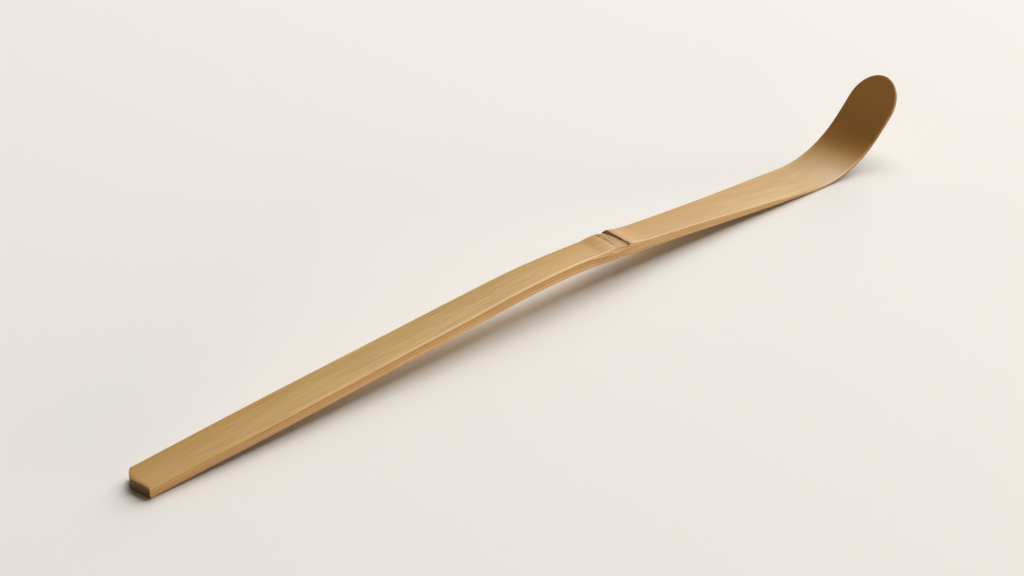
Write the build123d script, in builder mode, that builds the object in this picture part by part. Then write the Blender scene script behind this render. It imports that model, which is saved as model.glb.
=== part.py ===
import os
from math import asin, atan2, cos, degrees, hypot, radians, sin

from build123d import *

os.makedirs("parts", exist_ok=True)

# Lengths and turns along the top of the strip, from the cut end of the handle to the tip of the bowl.
handle_run = 82.2
crest_radius = 175.0
crest_angle = 9.45
shaft_run = 47.2
bend_radius = 20.0
bend_angle = 50.05
bowl_radius = 80.0
bowl_angle = 8.1

# Thickness of the strip, and of the hard skin on top of it.
handle_thick = 2.4
node_thick = 2.5
shaft_thick = 1.8
bowl_thick = 0.5
skin_thick = 0.25

# Roundness across the strip: the skin of the handle keeps the curve of the culm, the bowl is dished.
culm_radius = 30.0
trough_radius = 100.0

# Widths across the strip, which is narrowest at a waist just before the node.
end_width = 7.3
handle_width = 7.7
grip_width = 7.1
crest_width = 6.55
waist_width = 6.15
node_width = 6.4
shaft_width = 7.2
flare_width = 9.15
bend_width = 10.3
bowl_width = 11.0
tip_reach = 6.4

# The node: a swollen ring, a groove that holds the sheath scar, and a lip of the upper internode, whose
# skin then lies a step lower than the line of the handle.
node_length = 7.0
waist_from_node = 8.5
ridge_from_node = 3.3
ridge_rise = 0.25
dip_from_node = 0.9
dip_depth = 0.05
scar_length = 0.5
scar_depth = 0.55
scar_rise = 0.1
node_step = 0.33
lip_rise = 0.47
lip_length = 6.5

# The cut end of the handle has three facets, and the long lower edges are eased.
end_apex_y = 0.7
end_far_back = 1.9
end_near_back = 0.7
end_far_y = 2.6
lower_chamfer = 0.2

# Corners of the top line in the side view, with the handle level.
crest_end_x = handle_run + crest_radius * sin(radians(crest_angle))
crest_end_z = crest_radius * (cos(radians(crest_angle)) - 1)
shaft_start_x = crest_end_x - node_step * sin(radians(crest_angle))
shaft_start_z = crest_end_z - node_step * cos(radians(crest_angle))
shaft_end_x = shaft_start_x + shaft_run * cos(radians(crest_angle))
shaft_end_z = shaft_start_z - shaft_run * sin(radians(crest_angle))
bend_center_x = shaft_end_x + bend_radius * sin(radians(crest_angle))
bend_center_z = shaft_end_z + bend_radius * cos(radians(crest_angle))
bend_slope = bend_angle - crest_angle
bend_end_x = bend_center_x + bend_radius * sin(radians(bend_slope))
bend_end_z = bend_center_z - bend_radius * cos(radians(bend_slope))
tip_slope = bend_slope + bowl_angle
tip_x = bend_end_x + bowl_radius * (sin(radians(tip_slope)) - sin(radians(bend_slope)))
tip_z = bend_end_z + bowl_radius * (cos(radians(bend_slope)) - cos(radians(tip_slope)))
heel_x = tip_x + bowl_thick * sin(radians(tip_slope))
heel_z = tip_z - bowl_thick * cos(radians(tip_slope))

# The scoop lies on the lower edge of the cut end and on the back of the bend, so it tips up by this much.
back_radius = bend_radius + bowl_thick
back_rise = bend_center_z + handle_thick
rest_tilt = asin(back_radius / hypot(bend_center_x, back_rise)) - atan2(back_rise, bend_center_x)
length = heel_x * cos(rest_tilt) - heel_z * sin(rest_tilt)
node_x = crest_end_x * cos(rest_tilt) - crest_end_z * sin(rest_tilt)
bend_x = shaft_end_x * cos(rest_tilt) - shaft_end_z * sin(rest_tilt)
tip_angle = degrees(rest_tilt) + tip_slope
node_angle = degrees(rest_tilt) - crest_angle
wide = 2 * bowl_width

side = Plane(
    origin=(-length / 2, 0, handle_thick * cos(rest_tilt)),
    x_dir=(cos(rest_tilt), 0, sin(rest_tilt)),
    z_dir=(0, -1, 0),
)
plan = Plane(origin=(-length / 2, 0, 0))
node_point = side.from_local_coords((crest_end_x, crest_end_z, 0))
node_side = Plane(
    origin=node_point,
    x_dir=(cos(radians(node_angle)), 0, sin(radians(node_angle))),
    z_dir=(0, -1, 0),
)
shaft_point = node_side.from_local_coords((0, -node_step, 0))
shaft_side = Plane(shaft_point, node_side.x_dir, node_side.z_dir)
node_start = Plane(node_side.from_local_coords((-node_length, 0, 0)), (0, 1, 0), node_side.x_dir)
shaft_section = Plane(shaft_point, (0, 1, 0), node_side.x_dir)
tip_point = side.from_local_coords((tip_x, tip_z, 0))
tip_along = (cos(radians(tip_angle)), 0, sin(radians(tip_angle)))
tip_plane = Plane(tip_point, tip_along, (-sin(radians(tip_angle)), 0, cos(radians(tip_angle))))
handle_section = Plane(side.origin, (0, 1, 0), side.x_dir)

# The top line of each internode, along which its skin runs.
with BuildLine(side) as handle_line:
    handle_top = Line((0, 0), (handle_run, 0))
    JernArc(handle_top @ 1, handle_top % 1, crest_radius, -crest_angle)

with BuildLine(shaft_side) as scoop_line:
    shaft_top = Line((0, 0), (shaft_run, 0))
    bend_top = JernArc(shaft_top @ 1, shaft_top % 1, bend_radius, bend_angle)
    JernArc(bend_top @ 1, bend_top % 1, bowl_radius, bowl_angle)

# Outline of the whole strip from above, with the facets of the cut end.
with BuildPart() as outline:
    with BuildSketch(plan):
        with BuildLine():
            far_edge = Spline(
                (end_far_back, end_width / 2),
                (0.2 * node_x, handle_width / 2),
                (0.6 * node_x, grip_width / 2),
                (0.8 * node_x, crest_width / 2),
                (node_x - waist_from_node, waist_width / 2),
                (node_x, node_width / 2),
                (node_x + 0.4 * (bend_x - node_x), shaft_width / 2),
                (node_x + 0.8 * (bend_x - node_x), flare_width / 2),
                (bend_x, bend_width / 2),
                (length - tip_reach, bowl_width / 2),
                tangents=[(1, 0), (1, 0)],
            )
            near_edge = mirror(far_edge, Plane.XZ)
            Line(far_edge @ 1, (length + wide, bowl_width / 2))
            Line((length + wide, bowl_width / 2), (length + wide, -bowl_width / 2))
            Line((length + wide, -bowl_width / 2), near_edge @ 1)
            Line(near_edge @ 0, (end_near_back, -end_width / 2))
            Line((end_near_back, -end_width / 2), (0, end_apex_y))
            Line((0, end_apex_y), (end_far_back / 2, end_far_y))
            Line((end_far_back / 2, end_far_y), far_edge @ 0)
        make_face()
    extrude(amount=wide)

# The handle below its skin and with it: a straight run with a flat underside, then the crest.
with BuildPart() as handle_blank:
    with BuildSketch(side):
        with BuildLine():
            run_top = Line((0, 0), (handle_run, 0))
            crest_top = JernArc(run_top @ 1, run_top % 1, crest_radius, -crest_angle)
            run_under = Line((0, -handle_thick), (handle_run, -handle_thick))
            crest_under = JernArc(run_under @ 1, run_under % 1, crest_radius - handle_thick, -crest_angle)
            Line(crest_top @ 1, crest_under @ 1)
            Line(run_under @ 0, run_top @ 0)
        make_face()
    extrude(amount=wide, both=True)
    split(bisect_by=node_start, keep=Keep.BOTTOM)
    add(outline.part, mode=Mode.INTERSECT)
    long_edges = handle_blank.edges().filter_by(lambda edge: edge.length > node_length)
    chamfer(
        long_edges.filter_by(lambda edge: side.to_local_coords(edge @ 0.5).Y < -handle_thick / 2),
        length=lower_chamfer,
    )

# The space above the outer face of the handle's skin, and above its inner face.
with BuildPart() as above_handle_skin:
    with BuildSketch(handle_section):
        Rectangle(wide, wide / 2)
        with Locations((0, -culm_radius)):
            Circle(culm_radius, mode=Mode.SUBTRACT)
    sweep(path=handle_line.wires()[0])

with BuildPart() as above_handle_flesh:
    with BuildSketch(handle_section):
        Rectangle(wide, wide / 2)
        with Locations((0, -culm_radius)):
            Circle(culm_radius - skin_thick, mode=Mode.SUBTRACT)
    sweep(path=handle_line.wires()[0])

with BuildPart() as handle_flesh:
    add(handle_blank.part)
    add(above_handle_flesh.part, mode=Mode.SUBTRACT)

with BuildPart() as handle_skin:
    add(handle_blank.part)
    add(above_handle_flesh.part, mode=Mode.INTERSECT)
    add(above_handle_skin.part, mode=Mode.SUBTRACT)

# The node is a ring of the culm, so its swelling and the sheath scar turn about the culm's axis.
culm_axis = Axis(node_side.from_local_coords((0, -culm_radius, 0)), node_side.x_dir)
node_sag = crest_radius - (crest_radius**2 - node_length**2) ** 0.5

with BuildPart() as node_ring:
    with BuildSketch(node_side):
        with BuildLine():
            swelling = Spline(
                (-node_length, -node_sag),
                (-ridge_from_node, ridge_rise),
                (-dip_from_node, -dip_depth),
                tangents=[(1, 0), (1, 0)],
            )
            dip = Line(swelling @ 1, (0, -dip_depth))
            Line(dip @ 1, (0, -2 * node_thick))
            Line((0, -2 * node_thick), (-node_length, -2 * node_thick))
            Line((-node_length, -2 * node_thick), swelling @ 0)
        make_face()
    revolve(axis=culm_axis)

with BuildPart() as scar_ring:
    with BuildSketch(node_side):
        with Locations((0, -scar_depth)):
            Rectangle(scar_length, scar_depth + scar_rise, align=(Align.MAX, Align.MIN))
    revolve(axis=culm_axis)

with BuildPart() as node_ridge:
    with BuildSketch(node_side):
        with BuildLine():
            Polyline(
                (-node_length, -handle_thick - node_sag),
                (0, -node_thick),
                (0, node_thick),
                (-node_length, node_thick),
                close=True,
            )
        make_face()
    extrude(amount=wide, both=True)
    add(outline.part, mode=Mode.INTERSECT)
    node_under = node_ridge.faces().sort_by(Axis.Z)[0]
    chamfer(
        node_under.edges().filter_by(lambda edge: abs((edge @ 0.5).Y) > waist_width / 4),
        length=lower_chamfer,
    )
    add(node_ring.part, mode=Mode.INTERSECT)
    add(scar_ring.part, mode=Mode.SUBTRACT)

with BuildPart() as sheath_scar:
    add(scar_ring.part)
    add(outline.part, mode=Mode.INTERSECT)

# The shaft thins from the node to the bend, and the bowl turns up from it to a full round tip.
with BuildPart() as scoop_blank:
    with BuildSketch(shaft_side):
        with BuildLine():
            shaft_over = Line((0, node_thick), (shaft_run, node_thick))
            bend_over = JernArc(shaft_over @ 1, shaft_over % 1, bend_radius - node_thick, bend_angle)
            bowl_over = JernArc(bend_over @ 1, bend_over % 1, bowl_radius - node_thick, bowl_angle)
            shaft_under = Spline(
                (0, node_step - node_thick),
                (0.25 * shaft_run, -shaft_thick),
                (0.75 * shaft_run, -(shaft_thick + bowl_thick) / 2),
                (shaft_run, -bowl_thick),
                tangents=[(1, 0.08), (1, 0)],
            )
            bend_under = JernArc(shaft_under @ 1, shaft_under % 1, bend_radius + bowl_thick, bend_angle)
            bowl_under = JernArc(bend_under @ 1, bend_under % 1, bowl_radius + bowl_thick, bowl_angle)
            Line(shaft_over @ 0, shaft_under @ 0)
            Line(bowl_over @ 1, bowl_under @ 1)
        make_face()
    extrude(amount=wide, both=True)
    add(outline.part, mode=Mode.INTERSECT)
    with BuildSketch(tip_plane):
        with Locations((-tip_reach, 0)):
            Rectangle(wide, wide, align=(Align.MIN, Align.CENTER))
            Ellipse(tip_reach, bowl_width / 2, mode=Mode.SUBTRACT)
    extrude(amount=wide / 3, both=True, mode=Mode.SUBTRACT)

with BuildPart() as above_scoop_skin:
    with BuildSketch(shaft_section):
        Rectangle(wide, wide / 2)
        with Locations((0, trough_radius)):
            Circle(trough_radius, mode=Mode.INTERSECT)
    sweep(path=scoop_line.wires()[0])

with BuildPart() as above_scoop_flesh:
    with BuildSketch(shaft_section):
        Rectangle(wide, wide / 2)
        with Locations((0, trough_radius)):
            Circle(trough_radius + skin_thick, mode=Mode.INTERSECT)
    sweep(path=scoop_line.wires()[0])

# The skin of the upper internode stands up in a low lip against the sheath scar.
with BuildPart() as lip:
    with BuildSketch(shaft_side):
        with BuildLine():
            lip_top = Spline((0, lip_rise), (lip_length, -skin_thick / 4), tangents=[(1, -0.02), (1, 0)])
            Polyline(lip_top @ 1, (lip_length, -skin_thick / 2), (0, -skin_thick / 2), lip_top @ 0)
        make_face()
    extrude(amount=wide, both=True)
    add(outline.part, mode=Mode.INTERSECT)

with BuildPart() as scoop_flesh:
    add(scoop_blank.part)
    add(above_scoop_flesh.part, mode=Mode.SUBTRACT)

with BuildPart() as scoop_skin:
    add(scoop_blank.part)
    add(above_scoop_flesh.part, mode=Mode.INTERSECT)
    add(above_scoop_skin.part, mode=Mode.SUBTRACT)
    add(lip.part)

handle_flesh.part.label = "handle_flesh"
handle_skin.part.label = "handle_skin"
node_ridge.part.label = "node_ridge"
sheath_scar.part.label = "sheath_scar"
scoop_flesh.part.label = "scoop_flesh"
scoop_skin.part.label = "scoop_skin"

export_step(handle_flesh.part, "parts/handle_flesh.step")
export_step(handle_skin.part, "parts/handle_skin.step")
export_step(node_ridge.part, "parts/node_ridge.step")
export_step(sheath_scar.part, "parts/sheath_scar.step")
export_step(scoop_flesh.part, "parts/scoop_flesh.step")
export_step(scoop_skin.part, "parts/scoop_skin.step")
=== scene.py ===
from math import cos, hypot, pi, radians, sin, sqrt, tan

import bmesh
import bpy
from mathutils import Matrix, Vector


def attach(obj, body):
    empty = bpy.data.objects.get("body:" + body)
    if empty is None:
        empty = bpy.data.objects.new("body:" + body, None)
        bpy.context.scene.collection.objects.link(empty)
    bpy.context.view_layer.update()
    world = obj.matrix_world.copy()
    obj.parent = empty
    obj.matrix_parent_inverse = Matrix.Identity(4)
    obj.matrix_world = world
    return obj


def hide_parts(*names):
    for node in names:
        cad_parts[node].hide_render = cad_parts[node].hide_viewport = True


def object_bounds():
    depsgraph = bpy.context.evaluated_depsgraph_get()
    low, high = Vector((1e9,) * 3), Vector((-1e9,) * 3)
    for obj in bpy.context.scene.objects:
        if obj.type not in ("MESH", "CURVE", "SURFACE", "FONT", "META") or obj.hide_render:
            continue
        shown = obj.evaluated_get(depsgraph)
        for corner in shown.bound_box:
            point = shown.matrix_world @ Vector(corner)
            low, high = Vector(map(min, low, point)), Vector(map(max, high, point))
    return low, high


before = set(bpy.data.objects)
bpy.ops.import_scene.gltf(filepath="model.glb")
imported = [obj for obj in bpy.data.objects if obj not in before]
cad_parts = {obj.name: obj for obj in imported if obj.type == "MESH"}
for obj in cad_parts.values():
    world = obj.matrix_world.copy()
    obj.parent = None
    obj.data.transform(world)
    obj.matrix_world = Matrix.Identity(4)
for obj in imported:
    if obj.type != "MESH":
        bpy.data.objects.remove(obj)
cad_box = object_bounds()
bpy.ops.object.select_all(action="DESELECT")

# The line of the scoop. The maker shaves the strip flat and then bends it over a flame, so each piece
# is shaped flat here, its length along X and its skin near Z = 0, and then bent along this line. It
# lies on the skin of the handle, and one low step, the node's, above the skin of the scoop.
mm = 0.001
node_step = 0.33 * mm
handle_run, crest_radius, crest_angle = 82.2 * mm, 175 * mm, radians(9.45)
shaft_run, bend_radius, bend_angle = 47.2 * mm, 20 * mm - node_step, radians(50.05)
bowl_radius, bowl_angle = 80 * mm - node_step, radians(8.1)
rest_tilt = radians(3.15265)
handle_thick = 2.4 * mm
node_at = handle_run + crest_radius * crest_angle
bend_at = node_at + shaft_run
tip_at = bend_at + bend_radius * bend_angle + bowl_radius * bowl_angle

bpy.ops.curve.primitive_bezier_curve_add()
spine = bpy.context.object
spine.name = "spine"
spine.data.resolution_u = 64
spine.data.twist_mode = "Z_UP"
spine.data.use_deform_bounds = False
knots = spine.data.splines[0].bezier_points
knots.add(4)
place, heading = Vector((cad_box[0].x, 0, handle_thick * cos(rest_tilt))), rest_tilt
knots[0].co = knots[0].handle_left = place
for start, end, length, turn in (
    (knots[0], knots[1], handle_run, 0),
    (knots[1], knots[2], crest_radius * crest_angle, -crest_angle),
    (knots[2], knots[3], shaft_run, 0),
    (knots[3], knots[4], bend_radius * bend_angle, bend_angle),
    (knots[4], knots[5], bowl_radius * bowl_angle, bowl_angle),
):
    reach = length / 3 if turn == 0 else 4 / 3 * tan(abs(turn) / 4) * length / abs(turn)
    chord = length if turn == 0 else 2 * sin(abs(turn) / 2) * length / abs(turn)
    start.handle_right = place + reach * Vector((cos(heading), 0, sin(heading)))
    place = place + chord * Vector((cos(heading + turn / 2), 0, sin(heading + turn / 2)))
    heading = heading + turn
    end.co = end.handle_right = place
    end.handle_left = place - reach * Vector((cos(heading), 0, sin(heading)))


# The flesh of the handle. It is the pale inner wall of the lower internode, split from the culm
# and shaved flat underneath, with eased lower edges and an end cut square with three knife strokes.
skin_thick = 0.25 * mm
culm_radius = 30 * mm
board_width = 7.7 * mm
hair = 0.001 * mm
widths = (
    (0, 7.3), (10, 7.42), (20, 7.64), (30, 7.7), (40, 7.58), (50, 7.36), (66, 7.12), (80, 6.87), (90, 6.52),
    (100, 6.16), (107, 6.34), (113, 6.4), (121, 6.68), (130, 7.18), (140, 8.1), (150, 9.28), (160, 10.3),
    (170, 10.86), (178, 10.98), (187, 10.98),
)
end_strokes = (
    ((0.7, -3.65), (-4.35, -0.7)),
    ((0.95, 2.6), (-1.9, 0.95)),
    ((1.9, 3.65), (-1.05, 0.95)),
)
swell_from, scar_at = node_at - 7 * mm, node_at + 0.5 * mm


def along(sizes, x):
    """Follow sizes in millimetres, given at a few places along the strip, as one smooth line."""
    far = next((i for i in range(1, len(sizes)) if sizes[i][0] * mm >= x), len(sizes) - 1)
    (x0, a), (x1, b) = sizes[far - 1], sizes[far]
    before, after = sizes[max(far - 2, 0)], sizes[min(far + 1, len(sizes) - 1)]
    lean_0, lean_1 = (b - before[1]) / (x1 - before[0]), (after[1] - a) / (after[0] - x0)
    u, step = min(max((x / mm - x0) / (x1 - x0), 0), 1), x1 - x0
    blend = u * u * (3 - 2 * u)
    return (a + (b - a) * blend + step * u * (1 - u) * (lean_0 * (1 - u) - lean_1 * u)) * mm


def pick(kind, test):
    """Select only those vertices, edges or faces of the edited piece whose place passes a test."""
    bpy.ops.mesh.select_all(action="DESELECT")
    bpy.ops.mesh.select_mode(type={"verts": "VERT", "edges": "EDGE", "faces": "FACE"}[kind])
    mesh = bmesh.from_edit_mesh(bpy.context.object.data)
    for part in getattr(mesh, kind):
        if test(part):
            part.select_set(True)
    mesh.select_flush_mode()
    bmesh.update_edit_mesh(bpy.context.object.data)


def saw(name, start, end, top, bottom, cuts):
    """Saw a flat board as wide as the strip and cut it into an even grid for shaving."""
    bpy.ops.mesh.primitive_cube_add(
        size=1,
        location=((start + end) / 2, 0, (top + bottom) / 2),
        scale=(end - start, board_width, top - bottom),
    )
    bpy.ops.object.transform_apply(location=True, rotation=True, scale=True)
    bpy.context.object.name = name
    bpy.ops.object.mode_set(mode="EDIT")
    for axis, count in enumerate(cuts):
        if count:
            pick("edges", lambda edge: abs((edge.verts[0].co - edge.verts[1].co).normalized()[axis]) > 0.99)
            bpy.ops.mesh.subdivide(number_cuts=count)


def rows(axis):
    """List where the board's cuts lie along one axis."""
    found = []
    for place in sorted(vert.co[axis] for vert in bmesh.from_edit_mesh(bpy.context.object.data).verts):
        if not found or place - found[-1] > 5 * hair:
            found.append(place)
    return found


def culm_round(y):
    """Say how far the culm's outside has fallen at a distance from the middle of the strip."""
    return sqrt(culm_radius**2 - y * y) - culm_radius


def crown(top, rise):
    """Round the upper face across the strip, column by column, by a rise at each distance from the middle."""
    for y in rows(1):
        pick("verts", lambda vert: abs(vert.co.y - y) < hair and abs(vert.co.z - top) < hair)
        bpy.ops.transform.translate(value=(0, 0, rise(y)))


def shave(top, lift, bottom=None, depth=None):
    """Bring each cross cut of the board to the strip's width, height and thickness there."""
    for x in rows(0):
        ratio = along(widths, x) / board_width
        halfway = -board_width if bottom is None else (top + bottom) / 2
        pick("verts", lambda vert: abs(vert.co.x - x) < hair and vert.co.z > halfway)
        bpy.ops.transform.resize(value=(1, ratio, ratio * ratio), center_override=(x, 0, top))
        bpy.ops.transform.translate(value=(0, 0, lift(x)))
        if bottom is not None:
            pick("verts", lambda vert: abs(vert.co.x - x) < hair and abs(vert.co.z - bottom) < hair)
            bpy.ops.transform.resize(value=(1, ratio, 1), center_override=(x, 0, bottom))
            bpy.ops.transform.translate(value=(0, 0, -depth(x) - bottom))


def whittle(point, outward, closed):
    """Cut off all that lies outside one flat knife stroke."""
    bpy.ops.mesh.select_all(action="SELECT")
    outward = Vector(outward).normalized()
    bpy.ops.mesh.bisect(plane_co=point, plane_no=outward, use_fill=closed, clear_outer=True, threshold=hair / 10)


def square_end(closed=True):
    """Cut the end of the handle with its three strokes."""
    for (x, y), (away_x, away_y) in end_strokes:
        whittle((x * mm, y * mm, 0), (away_x, away_y, 0), closed)


def ease(offset, upper):
    """Take the sharp edge off the upper or lower corners, but not where two pieces meet."""
    way = 1 if upper else -1

    def is_corner(edge):
        if len(edge.link_faces) != 2:
            return False
        tilts = [face.normal.z for face in edge.link_faces]
        for joint in (swell_from, scar_at):
            if max(abs(vert.co.x - joint) for vert in edge.verts) < 10 * hair:
                return False
        return max(way * tilt for tilt in tilts) > 0.6 and min(abs(tilt) for tilt in tilts) < 0.4

    pick("edges", is_corner)
    bpy.ops.mesh.bevel(offset=offset, segments=2, affect="EDGES", clamp_overlap=False)


def bend():
    """Keep the flat place of every point as its grain, then bend the piece along the spine."""
    bpy.ops.mesh.select_all(action="SELECT")
    bpy.ops.mesh.remove_doubles(threshold=2 * hair)
    bpy.ops.mesh.normals_make_consistent(inside=False)
    bpy.ops.object.mode_set(mode="OBJECT")
    piece = bpy.context.object
    flat = [value for vert in piece.data.vertices for value in vert.co]
    piece.data.attributes.new("grain", "FLOAT_VECTOR", "POINT").data.foreach_set("vector", flat)
    piece.modifiers.new("bend", "CURVE").object = spine
    bpy.ops.object.modifier_apply(modifier="bend")
    bpy.ops.object.shade_smooth_by_angle(angle=radians(35))
    return piece


def linear(code):
    """Turn an sRGB hex colour into the linear values that a shader takes."""
    parts = [int(code[i : i + 2], 16) / 255 for i in (0, 2, 4)]
    return tuple(c / 12.92 if c <= 0.04045 else ((c + 0.055) / 1.055) ** 2.4 for c in parts) + (1,)


def per_mm(*counts):
    """Scale a pattern by how many of its marks go to a millimetre along, across and into the strip."""
    return tuple(count / mm for count in counts)


def put(tree, kind, feeds=None, stops=(), **settings):
    """Add one node with its settings, and feed its sockets with values, outputs or the nodes before it."""
    made = tree.nodes.new("ShaderNode" + kind)
    for name, value in settings.items():
        setattr(made, name, value)
    for i, (position, code) in enumerate(stops):
        stop = made.color_ramp.elements[i] if i < 2 else made.color_ramp.elements.new(position)
        stop.position, stop.color = position, linear(code)
    for socket, source in (feeds or {}).items():
        if isinstance(source, bpy.types.Node):
            source = next(out for out in source.outputs if out.enabled)
        if isinstance(source, bpy.types.NodeSocket):
            tree.links.new(source, made.inputs[socket])
        else:
            made.inputs[socket].default_value = source
    return made


saw("handle_wall", 0, swell_from, -skin_thick, -handle_thick, (103, 11, 0))
crown(-skin_thick, culm_round)
shave(-skin_thick, lambda x: 0, -handle_thick, lambda x: handle_thick)
square_end()
ease(0.2 * mm, upper=False)
handle_wall = bend()

# Bamboo flesh: straw-coloured layers under the skin, the outer ones browner, with fibre bundles that
# show as stripes along the sides, as flecks underneath and as dots on the cut end. It is dull. Single
# fibres are too fine to show, so the streaks are bundles of them, three to the millimetre.
bamboo_flesh = bpy.data.materials.new("bamboo_flesh")
bamboo_flesh.use_nodes = True
tree = bamboo_flesh.node_tree
surface = tree.nodes["Principled BSDF"]
braid_at = 108.3 * mm
grain = put(tree, "Attribute", attribute_name="grain").outputs["Vector"]
strip_x, strip_y, strip_z = put(tree, "SeparateXYZ", {0: grain}).outputs
wander = put(tree, "TexNoise", {
    "Vector": put(tree, "VectorMath", {0: grain, 1: per_mm(0.06, 0.2, 0.2)}, operation="MULTIPLY"),
    "Scale": 1, "Detail": 2,
})
near_node = put(tree, "MapRange", {
    "Value": put(tree, "Math", {
        0: put(tree, "Math", {0: strip_x, 1: braid_at}, operation="SUBTRACT"),
    }, operation="ABSOLUTE"),
    "From Min": 1.5 * mm, "From Max": 6 * mm, "To Min": 1, "To Max": 0,
})
swirl = put(tree, "TexNoise", {
    "Vector": put(tree, "VectorMath", {0: grain, 1: per_mm(0.42, 0.3, 0.9)}, operation="MULTIPLY"),
    "Scale": 1, "Detail": 1,
})
culm_curve = put(tree, "Math", {
    0: put(tree, "Math", {0: strip_y, 1: 2}, operation="POWER"), 1: 1 / (2 * culm_radius), 2: strip_z,
}, operation="MULTIPLY_ADD")
wavy = put(tree, "Math", {0: wander, 1: 0.3 * mm, 2: culm_curve}, operation="MULTIPLY_ADD")
twisted = put(tree, "Math", {
    0: put(tree, "Math", {0: swirl, 1: near_node}, operation="MULTIPLY"), 1: 1.2 * mm, 2: wavy,
}, operation="MULTIPLY_ADD")
layers = put(tree, "ValToRGB", {
    0: put(tree, "MapRange", {"Value": twisted, "From Min": -2.5 * mm, "From Max": 0.25 * mm}),
}, stops=(
    (0.1, "D0AC75"), (0.87, "E0BD88"), (0.28, "CFA971"), (0.53, "CCA268"), (0.57, "966C40"), (0.605, "CCA165"),
    (0.75, "C6995C"), (0.79, "8B6236"), (0.835, "C1965B"),
))
plainer = put(tree, "Mix", {
    0: put(tree, "MapRange", {"Value": strip_x, "From Min": 103 * mm, "From Max": 115 * mm, "To Max": 0.75}),
    6: layers, 7: linear("C7A46F"),
}, data_type="RGBA")
# Painted shade: the lower half of the sides is darker near the handle end, where the eased lower edge turns down.
painted_low_shade = put(tree, "Mix", {
    0: put(tree, "Math", {
        0: put(tree, "MapRange", {"Value": strip_x, "From Min": 55 * mm, "From Max": 2 * mm, "To Max": 0.6}),
        1: put(tree, "MapRange", {"Value": strip_z, "From Min": -0.8 * mm, "From Max": -2.2 * mm}),
    }, operation="MULTIPLY"),
    6: plainer, 7: linear("7D522B"),
}, data_type="RGBA")
# Browner towards the bowl: partly browned by the flame, partly painted shade on the bowl's rim.
browned_and_shaded = put(tree, "Mix", {
    0: put(tree, "MapRange", {"Value": strip_x, "From Min": 158 * mm, "From Max": 169 * mm, "To Max": 0.95}),
    6: painted_low_shade, 7: linear("6B4522"),
}, data_type="RGBA")
# Darker on faces turned to -X, away from the lamp: the cut end's own darker end grain, and painted shade on it.
facing = put(tree, "SeparateXYZ", {0: put(tree, "NewGeometry").outputs["Normal"]})
end_grain_and_shade = put(tree, "Mix", {
    0: put(tree, "MapRange", {"Value": facing.outputs["X"], "From Min": -0.4, "From Max": -0.8, "To Max": 0.8}),
    6: browned_and_shaded, 7: linear("5F3E1E"),
}, data_type="RGBA")
fibre = put(tree, "TexNoise", {
    "Vector": put(tree, "VectorMath", {0: grain, 1: per_mm(0.07, 3, 3)}, operation="MULTIPLY"),
    "Scale": 1, "Detail": 3,
})
streaked = put(tree, "Mix", {
    0: put(tree, "MapRange", {"Value": fibre, "From Min": 0.48, "From Max": 0.68, "To Max": 0.45}),
    6: end_grain_and_shade, 7: linear("A0713E"),
}, data_type="RGBA")
threads = put(tree, "TexNoise", {
    "W": put(tree, "Math", {0: twisted, 1: 6.5 / mm}, operation="MULTIPLY"), "Scale": 1, "Detail": 1,
}, noise_dimensions="1D")
braided = put(tree, "Mix", {
    0: put(tree, "Math", {
        0: put(tree, "MapRange", {"Value": threads, "From Min": 0.48, "From Max": 0.58, "To Max": 0.65}),
        1: put(tree, "Math", {0: near_node, 1: 0.8, 2: 0.2}, operation="MULTIPLY_ADD"),
    }, operation="MULTIPLY"),
    6: streaked, 7: linear("7E5128"),
}, data_type="RGBA")
tree.links.new(braided.outputs[2], surface.inputs["Base Color"])
ribbed = put(tree, "Bump", {"Height": fibre, "Strength": 0.3, "Distance": 0.03 * mm})
tree.links.new(ribbed.outputs[0], surface.inputs["Normal"])
surface.inputs["Roughness"].default_value = 0.6
handle_wall.data.materials.append(bamboo_flesh)
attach(handle_wall, "root")
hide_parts("handle_flesh")


# The skin of the handle. It is the hard golden outside of the culm, left on along the top, so it
# keeps the culm's curve across, and its long edges are crisp and only just rubbed down.
def peel(name, start, end, top, cuts):
    """Peel a flat sheet of skin as wide as the strip, ruled into an even grid for shaving."""
    bpy.ops.mesh.primitive_grid_add(
        x_subdivisions=cuts[0], y_subdivisions=cuts[1], size=1, location=((start + end) / 2, 0, top)
    )
    bpy.ops.transform.resize(value=(end - start, board_width, 1))
    bpy.ops.object.transform_apply(location=True, rotation=True, scale=True)
    bpy.context.object.name = name
    bpy.ops.object.mode_set(mode="EDIT")


def thicken():
    """Give a peeled sheet the thickness of the skin, on its underside."""
    bpy.ops.mesh.select_all(action="SELECT")
    bpy.ops.mesh.extrude_region_move(TRANSFORM_OT_translate={"value": (0, 0, -skin_thick)})
    bpy.ops.mesh.select_all(action="SELECT")
    bpy.ops.mesh.normals_make_consistent(inside=False)


upper_ease = 0.18 * mm
peel("handle_rind", 0, swell_from, 0, (104, 16))
crown(0, culm_round)
shave(0, lambda x: 0)
square_end(closed=False)
thicken()
ease(upper_ease, upper=True)
handle_rind = bend()

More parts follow.
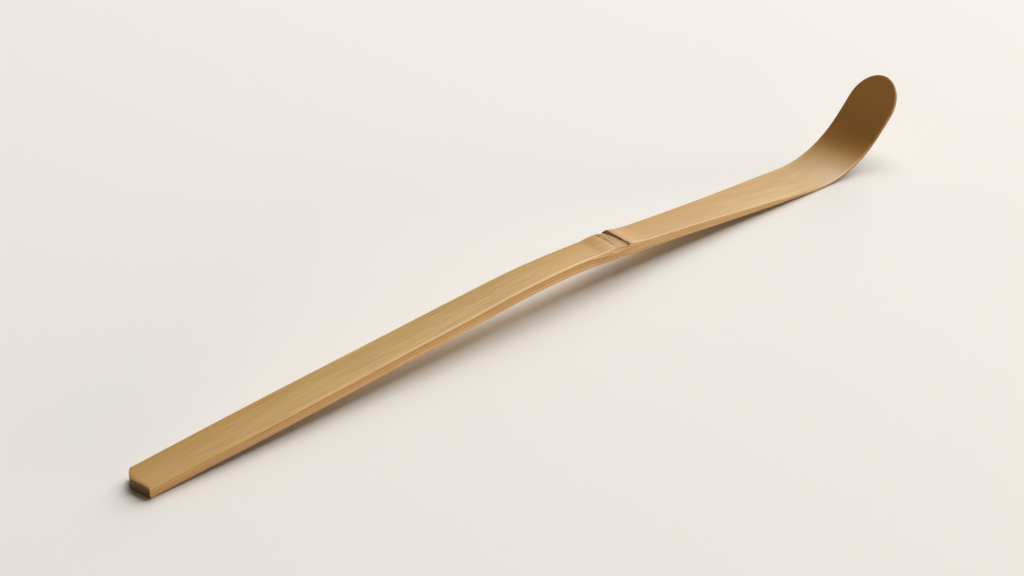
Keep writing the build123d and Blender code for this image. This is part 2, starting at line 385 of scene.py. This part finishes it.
# Bamboo skin: hard, golden straw with a satin sheen, finely streaked along the grain, pinkish with a row
# of brown rootlet dots before the scar, and stained behind it. Inside the bowl it is browned partly by the
# flame and partly by a painted shadow. Painted sheen pales the near side and a band before the bend,
# painted shade deepens the far side, and a painted highlight runs along the long edges, most of all along
# the shaft.
bamboo_skin = bpy.data.materials.new("bamboo_skin")
bamboo_skin.use_nodes = True
tree = bamboo_skin.node_tree
surface = tree.nodes["Principled BSDF"]
ring_slant = radians(1.2)
rootlet_row, blush_at, stain_run = 108.6 * mm, 109.6 * mm, 1.3 * mm
grain = put(tree, "Attribute", attribute_name="grain").outputs["Vector"]
strip_x, strip_y = put(tree, "SeparateXYZ", {0: grain}).outputs[:2]
bands = put(tree, "TexNoise", {
    "Vector": put(tree, "VectorMath", {0: grain, 1: per_mm(0.04, 0.5, 0.5)}, operation="MULTIPLY"),
    "Scale": 1, "Detail": 2,
})
banded = put(tree, "Mix", {
    0: put(tree, "MapRange", {"Value": bands, "From Min": 0.3, "From Max": 0.7}),
    6: linear("C69A52"), 7: linear("D2AC64"),
}, data_type="RGBA")
# Painted sheen: the skin turns paler towards the near side.
near_sheen_painted = put(tree, "Mix", {
    0: put(tree, "MapRange", {"Value": strip_y, "From Min": 4 * mm, "From Max": -4 * mm, "To Max": 0.65}),
    6: banded, 7: linear("DAB677"),
}, data_type="RGBA")
# Darker and deeper gold towards the end of the handle.
deeper_to_end = put(tree, "Mix", {
    0: put(tree, "MapRange", {
        "Value": strip_x, "From Min": 48 * mm, "From Max": 0, "To Max": 0.45,
    }, interpolation_type="SMOOTHSTEP"),
    6: near_sheen_painted, 7: linear("BC8C46"),
}, data_type="RGBA")
fibre = put(tree, "TexNoise", {
    "Vector": put(tree, "VectorMath", {0: grain, 1: per_mm(0.11, 3, 3)}, operation="MULTIPLY"),
    "Scale": 1, "Detail": 3,
})
streaked = put(tree, "Mix", {
    0: put(tree, "MapRange", {"Value": fibre, "From Min": 0.42, "From Max": 0.68, "To Max": 0.5}),
    6: deeper_to_end, 7: linear("B38745"),
}, data_type="RGBA")
hairs = put(tree, "TexNoise", {
    "Vector": put(tree, "VectorMath", {0: grain, 1: per_mm(0.08, 6, 6)}, operation="MULTIPLY"),
    "Scale": 1, "Detail": 1,
})
lined = put(tree, "Mix", {
    0: put(tree, "MapRange", {"Value": hairs, "From Min": 0.58, "From Max": 0.72, "To Max": 0.4}),
    6: streaked, 7: linear("9A6E38"),
}, data_type="RGBA")
golden = put(tree, "Mix", {
    0: put(tree, "Math", {
        0: put(tree, "MapRange", {
            "Value": strip_x, "From Min": 90 * mm, "From Max": 118 * mm, "To Max": 0.5,
        }, interpolation_type="SMOOTHSTEP"),
        1: put(tree, "MapRange", {
            "Value": strip_x, "From Min": 128 * mm, "From Max": 152 * mm, "To Min": 1, "To Max": 0,
        }, interpolation_type="SMOOTHSTEP"),
    }, operation="MULTIPLY"),
    6: lined, 7: linear("BE9147"),
}, data_type="RGBA")
# A deeper, more saturated tone over the scoop, with painted shade that makes the far side, away from the painted
# sheen, the deepest.
far_shade_painted = put(tree, "Mix", {
    0: put(tree, "Math", {
        0: put(tree, "MapRange", {"Value": strip_x, "From Min": 78 * mm, "From Max": 112 * mm}),
        1: put(tree, "MapRange", {"Value": strip_y, "From Min": -4.5 * mm, "From Max": 1.5 * mm}),
    }, operation="MULTIPLY"),
    6: golden, 7: linear("F4EBC9"),
}, data_type="RGBA", blend_type="MULTIPLY")
# Painted sheen: a pale band just before the bend, strongest on the near side.
bend_sheen_painted = put(tree, "Mix", {
    0: put(tree, "Math", {
        0: put(tree, "MapRange", {
            "Value": strip_x, "From Min": 156 * mm, "From Max": 167 * mm,
        }, interpolation_type="SMOOTHSTEP"),
        1: put(tree, "MapRange", {
            "Value": strip_y, "From Min": -4 * mm, "From Max": 4 * mm, "To Min": 1, "To Max": 0.25,
        }),
    }, operation="MULTIPLY"),
    6: far_shade_painted, 7: linear("FFE0B4"),
}, data_type="RGBA")
toasted = put(tree, "Mix", {
    0: put(tree, "MapRange", {"Value": strip_x, "From Min": 164 * mm, "From Max": 171 * mm, "To Max": 0.95}),
    6: bend_sheen_painted, 7: linear("D8A054"),
}, data_type="RGBA")
# Brown inside the bowl: partly the flame's browning, partly a painted shadow of the bowl on the bend, whose front
# slants across the strip.
shadow_front = put(tree, "Math", {0: strip_y, 1: 0.3, 2: strip_x}, operation="MULTIPLY_ADD")
scorch_and_shadow = put(tree, "Mix", {
    0: put(tree, "Math", {
        0: put(tree, "MapRange", {
            "Value": shadow_front, "From Min": 167 * mm, "From Max": 173.5 * mm, "To Max": 0.9,
        }, interpolation_type="SMOOTHSTEP"),
        1: put(tree, "MapRange", {
            "Value": strip_x, "From Min": 174 * mm, "From Max": 184 * mm, "To Min": 1, "To Max": 0.7,
        }, interpolation_type="SMOOTHSTEP"),
    }, operation="MULTIPLY"),
    6: toasted, 7: linear("A8753B"),
}, data_type="RGBA")
ring = put(tree, "Math", {0: strip_y, 1: tan(ring_slant), 2: strip_x}, operation="MULTIPLY_ADD")
blush = put(tree, "Mix", {
    0: put(tree, "Math", {
        0: put(tree, "MapRange", {
            "Value": strip_x, "From Min": 108.2 * mm, "From Max": 109.2 * mm,
            "To Max": put(tree, "MapRange", {
                "Value": strip_y, "From Min": -3 * mm, "From Max": 1.5 * mm, "To Min": 0.5, "To Max": 0.72,
            }),
        }),
        1: put(tree, "Math", {0: ring, 1: scar_at}, operation="LESS_THAN"),
    }, operation="MULTIPLY"),
    6: scorch_and_shadow, 7: linear("90641C"),
}, data_type="RGBA")
stained = put(tree, "Mix", {
    0: put(tree, "Math", {
        0: put(tree, "MapRange", {
            "Value": ring, "From Min": scar_at, "From Max": scar_at + stain_run, "To Min": 0.55, "To Max": 0,
        }),
        1: put(tree, "Math", {0: ring, 1: scar_at}, operation="GREATER_THAN"),
    }, operation="MULTIPLY"),
    6: blush, 7: linear("8E5F2C"),
}, data_type="RGBA")
rootlets = put(tree, "TexNoise", {
    "Vector": put(tree, "VectorMath", {0: grain, 1: per_mm(2, 2.8, 0)}, operation="MULTIPLY"),
    "Scale": 1, "Detail": 1,
}, noise_dimensions="2D")
row = put(tree, "MapRange", {
    "Value": put(tree, "Math", {
        0: put(tree, "Math", {0: strip_x, 1: rootlet_row}, operation="SUBTRACT"),
    }, operation="ABSOLUTE"),
    "From Min": 0.15 * mm, "From Max": 0.6 * mm, "To Min": 1, "To Max": 0,
})
fading = put(tree, "MapRange", {"Value": strip_y, "From Min": -2.8 * mm, "From Max": 1 * mm, "To Min": 0.25})
dots = put(tree, "Math", {
    0: put(tree, "MapRange", {"Value": rootlets, "From Min": 0.45, "From Max": 0.53, "To Min": 0.15}),
    1: put(tree, "Math", {0: row, 1: fading}, operation="MULTIPLY"),
}, operation="MULTIPLY")
dotted = put(tree, "Mix", {0: dots, 6: stained, 7: linear("7E4A14")}, data_type="RGBA")
# Painted highlight: a pale line along the long edges, found by the normal's lean, brightest along the shaft and
# faint at the ring.
lean = put(tree, "Math", {
    0: put(tree, "SeparateXYZ", {0: put(tree, "NewGeometry").outputs["Normal"]}).outputs["Y"],
}, operation="ABSOLUTE")
arris = put(tree, "Math", {
    0: put(tree, "MapRange", {"Value": lean, "From Min": 0.13, "From Max": 0.32, "To Max": 0.95}),
    1: put(tree, "MapRange", {"Value": lean, "From Min": 0.8, "From Max": 0.97, "To Min": 1, "To Max": 0.2}),
}, operation="MULTIPLY")
highlight_run = put(tree, "Math", {
    0: put(tree, "MapRange", {"Value": strip_x, "From Min": 10 * mm, "From Max": 118 * mm, "To Max": 0.9}),
    1: put(tree, "MapRange", {
        "Value": strip_x, "From Min": 150 * mm, "From Max": 168 * mm, "To Min": 1, "To Max": 0,
    }),
}, operation="MULTIPLY")
ring_without_highlight = put(tree, "MapRange", {
    "Value": put(tree, "Math", {
        0: put(tree, "Math", {0: strip_x, 1: blush_at}, operation="SUBTRACT"),
    }, operation="ABSOLUTE"),
    "From Min": 1.5 * mm, "From Max": 3.5 * mm, "To Min": 0.15,
})
edge_highlight_painted = put(tree, "Mix", {
    0: put(tree, "Math", {
        0: put(tree, "Math", {0: arris, 1: highlight_run}, operation="MULTIPLY"), 1: ring_without_highlight,
    }, operation="MULTIPLY"),
    6: dotted, 7: linear("F5E2BE"),
}, data_type="RGBA")
tree.links.new(edge_highlight_painted.outputs[2], surface.inputs["Base Color"])
ribbed = put(tree, "Bump", {"Height": fibre, "Strength": 0.1, "Distance": 0.02 * mm})
tree.links.new(ribbed.outputs[0], surface.inputs["Normal"])
dulled = put(tree, "Math", {0: dots, 1: 0.5, 2: 0.45}, operation="MULTIPLY_ADD")
tree.links.new(dulled.outputs[0], surface.inputs["Roughness"])
surface.inputs["Specular IOR Level"].default_value = 0.2
handle_rind.data.materials.append(bamboo_skin)
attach(handle_rind, "root")
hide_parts("handle_skin")

# The node. The culm swells at the ring where a leaf sheath grew, so the strip rises in a low
# ridge there, dips, and is a little thicker underneath, where the cross wall was shaved away.
node_thick = 2.5 * mm
swelling = (
    (104.06, 0), (104.7, 0.02), (105.5, 0.1), (106.4, 0.2), (107.6, 0.28), (108.6, 0.22), (109.6, 0.09),
    (110.4, 0.01), (111.5, 0),
)
node_depths = ((104.06, 2.4), (111.5, 2.48))


def slant():
    """Turn the joint at the scar a little, as the ring runs round the culm."""
    pick("verts", lambda vert: abs(vert.co.x - scar_at) < 2 * hair)
    # With no window, rotate turns the other way, so the angle is negative here and for the scar itself.
    bpy.ops.transform.rotate(value=-ring_slant, orient_axis="Z", center_override=(scar_at, 0, 0))


saw("node_swelling", swell_from, scar_at, 0, -node_thick, (27, 15, 0))
crown(0, culm_round)
shave(0, lambda x: along(swelling, x), -node_thick, lambda x: along(node_depths, x))
ease(0.16 * mm, upper=False)
ease(upper_ease, upper=True)
pick("faces", lambda face: face.normal.z < 0.3)
bpy.context.object.data.materials.append(bamboo_skin)
bpy.context.object.data.materials.append(bamboo_flesh)
bpy.context.object.active_material_index = 1
bpy.ops.object.material_slot_assign()
slant()
node_swelling = bend()
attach(node_swelling, "root")
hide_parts("node_ridge")

# The flesh of the scoop. The upper internode is shaved thinner and thinner from the node to the
# bend, so that the bowl is about half a millimetre thick, and its tip is whittled to a full round.
trough_radius = 100 * mm
lip = (
    (111.06, 0.47), (111.8, 0.44), (112.6, 0.34), (113.4, 0.22), (114.4, 0.12), (115.6, 0.04), (117, 0), (187, 0),
)
depths = (
    (111.06, 2.5), (113, 2.39), (117, 2.27), (123, 2.12), (135, 1.91), (147, 1.46), (155, 0.98), (159, 0.825),
    (187, 0.825),
)
tip_reach, tip_half = 6.4 * mm, 5.49 * mm
under_skin = -node_step - skin_thick


def trough(y):
    """Say how far the hollow of the scoop has risen at a distance from the middle of the strip."""
    return trough_radius - sqrt(trough_radius**2 - y * y)


def round_tip(closed=True):
    """Whittle the tip round with many small strokes, and clear small scraps of the grid from its rim."""
    middle, rim = tip_at - tip_reach, 0.999
    for stroke in range(-15, 16):
        turn = stroke * pi / 31
        point = (middle + tip_reach * cos(turn), tip_half * sin(turn), 0)
        whittle(point, (cos(turn) / tip_reach, sin(turn) / tip_half, 0), closed)

    def outness(vert):
        return hypot(max(0, vert.co.x - middle) / tip_reach, vert.co.y / tip_half)

    def slanting(edge):
        inner, outer = sorted(edge.verts, key=outness)
        across = Vector((max(0, outer.co.x - middle) / tip_reach**2, outer.co.y / tip_half**2, 0)).normalized()
        grazes = (outer.co - inner.co).normalized().dot(across) < 0.75
        return grazes and outness(inner) < 0.94 and outness(outer) > rim

    pick("verts", lambda vert: vert.co.x > middle + mm and 0.93 < outness(vert) < rim)
    bpy.ops.mesh.dissolve_verts()
    pick("edges", slanting)
    bpy.ops.mesh.dissolve_edges()
    pick("verts", lambda vert: outness(vert) > rim)
    bpy.ops.mesh.remove_doubles(threshold=0.2 * mm)


saw("scoop_wall", scar_at, tip_at, under_skin, -node_thick, (151, 15, 0))
crown(under_skin, trough)
shave(under_skin, lambda x: along(lip, x), -node_thick, lambda x: along(depths, x))
round_tip()
ease(0.14 * mm, upper=False)
slant()
scoop_wall = bend()
scoop_wall.data.materials.append(bamboo_flesh)
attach(scoop_wall, "root")
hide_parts("scoop_flesh")

# The skin of the scoop. The outside of the upper internode runs along the shaft and round the
# bend, where heat browned it a little and a shadow is painted on it, and it stands up in a low lip against the
# sheath scar.
peel("scoop_rind", scar_at, tip_at, -node_step, (152, 16))
crown(-node_step, trough)
shave(-node_step, lambda x: along(lip, x))
round_tip(closed=False)
thicken()
ease(upper_ease, upper=True)
slant()
scoop_rind = bend()
scoop_rind.data.materials.append(bamboo_skin)
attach(scoop_rind, "root")
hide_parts("scoop_skin")

# The sheath scar. The leaf sheath broke off and left a dark ragged rim in the groove at the node,
# which the knife followed, so it runs across the strip and hooks a little way down both sides.
scar_width, scar_rise, scar_depth = 6.5 * mm, 0.13 * mm, 0.55 * mm
stub_run, stub_skew, stub_drop = 0.29 * mm, 0.09, 0.15
tooth_run, tooth_pitch = 0.06 * mm, 0.55 * mm
worn_slope = 0.08
hooks = ((-0.1, -0.2), (-0.3, -0.2), (-0.5, -0.15))
saw("sheath_rim", scar_at - 0.12 * mm, scar_at + 0.03 * mm, scar_rise, -scar_depth, (1, 63, 3))
bpy.ops.mesh.select_all(action="SELECT")
bpy.ops.transform.resize(value=(1, scar_width / board_width, 1), center_override=(scar_at, 0, 0))
for y in rows(1):
    stub = stub_run + stub_skew * y + tooth_run * (1 + cos(2 * pi * y / tooth_pitch))
    pick("verts", lambda vert: vert.co.x < scar_at - 0.1 * mm and abs(vert.co.y - y) < hair)
    bpy.ops.transform.translate(value=(-stub, 0, -stub_drop * stub))
    pick("verts", lambda vert: vert.co.z > -0.02 * mm and abs(vert.co.y - y) < hair)
    bpy.ops.transform.translate(value=(0, 0, -worn_slope * max(0, -y - mm)))
for level, turn_back in hooks:
    pick("verts", lambda vert: abs(vert.co.y) > 3.2 * mm and vert.co.z < level * mm)
    bpy.ops.transform.translate(value=(turn_back * mm, 0, 0))
bpy.ops.mesh.select_all(action="SELECT")
bpy.ops.transform.vertex_random(offset=0.04 * mm, seed=4)
bpy.ops.transform.rotate(value=-ring_slant, orient_axis="Z", center_override=(scar_at, 0, 0))
sheath_rim = bend()

# Sheath scar fibre: a dull, ragged stub of leaf, dark brown, with lighter strands between the broken
# ones, and worn paler towards the near side.
scar_brown = bpy.data.materials.new("sheath_scar_fibre")
scar_brown.use_nodes = True
tree = scar_brown.node_tree
surface = tree.nodes["Principled BSDF"]
grain = put(tree, "Attribute", attribute_name="grain").outputs["Vector"]
strip_y = put(tree, "SeparateXYZ", {0: grain}).outputs["Y"]
strands = put(tree, "TexNoise", {
    "Vector": put(tree, "VectorMath", {0: grain, 1: per_mm(0.9, 3.2, 0.9)}, operation="MULTIPLY"),
    "Scale": 1, "Detail": 1,
})
stranded = put(tree, "Mix", {
    0: put(tree, "MapRange", {"Value": strands, "From Min": 0.4, "From Max": 0.65}),
    6: linear("5A3A17"), 7: linear("8A5C2C"),
}, data_type="RGBA")
worn = put(tree, "Mix", {
    0: put(tree, "MapRange", {
        "Value": strip_y, "From Min": -0.5 * mm, "From Max": -3 * mm,
    }, interpolation_type="SMOOTHSTEP"),
    6: stranded, 7: linear("C89A62"),
}, data_type="RGBA")
tree.links.new(worn.outputs[2], surface.inputs["Base Color"])
surface.inputs["Roughness"].default_value = 0.85
surface.inputs["Specular IOR Level"].default_value = 0.1
sheath_rim.data.materials.append(scar_brown)
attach(sheath_rim, "root")
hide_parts("sheath_scar")
bpy.data.objects.remove(spine)

# The stage. A plain pale floor, a broad soft lamp beyond the bowl, a weaker one on the near side,
# and the camera at the photograph's place.
bpy.ops.mesh.primitive_plane_add(size=3)
floor = bpy.context.object
floor.name = "floor"

# Pale floor: a matt, warm white that takes a soft shadow.
floor_white = bpy.data.materials.new("pale_floor")
floor_white.use_nodes = True
surface = floor_white.node_tree.nodes["Principled BSDF"]
surface.inputs["Base Color"].default_value = linear("F8F5EF")
surface.inputs["Roughness"].default_value = 0.9
floor.data.materials.append(floor_white)

for name, place, wide, high, watts, tint in (
    ("window", (1.627, 0.541, 1.379), 2.38, 3.14, 93, "FFFFFF"),
    ("reflector", (0.155, -0.88, 0.065), 0.9, 0.11, 4.5, "FFF2E0"),
):
    bpy.ops.object.light_add(type="AREA", location=place)
    lamp = bpy.context.object
    lamp.name = name
    lamp.data.shape = "RECTANGLE"
    lamp.data.size, lamp.data.size_y = wide, high
    lamp.data.energy = watts
    lamp.data.color = linear(tint)[:3]
    lamp.rotation_euler = (-Vector(place)).to_track_quat("-Z", "Y").to_euler()

world = bpy.data.worlds.new("studio")
bpy.context.scene.world = world
world.use_nodes = True
world.node_tree.nodes["Background"].inputs["Color"].default_value = linear("FFE6C6")
world.node_tree.nodes["Background"].inputs["Strength"].default_value = 0.05

focus_px, frame_px = 4000, 1024
bpy.ops.object.camera_add(
    location=(-410.34 * mm, -463.13 * mm, 386.91 * mm),
    rotation=(radians(58.213), radians(0.117), radians(-41.227)),
)
camera = bpy.context.object
camera.data.sensor_width = 36
camera.data.lens = focus_px / frame_px * camera.data.sensor_width
camera.data.clip_start = 0.01
bpy.context.scene.camera = camera
bpy.context.scene.view_settings.view_transform = "Standard"
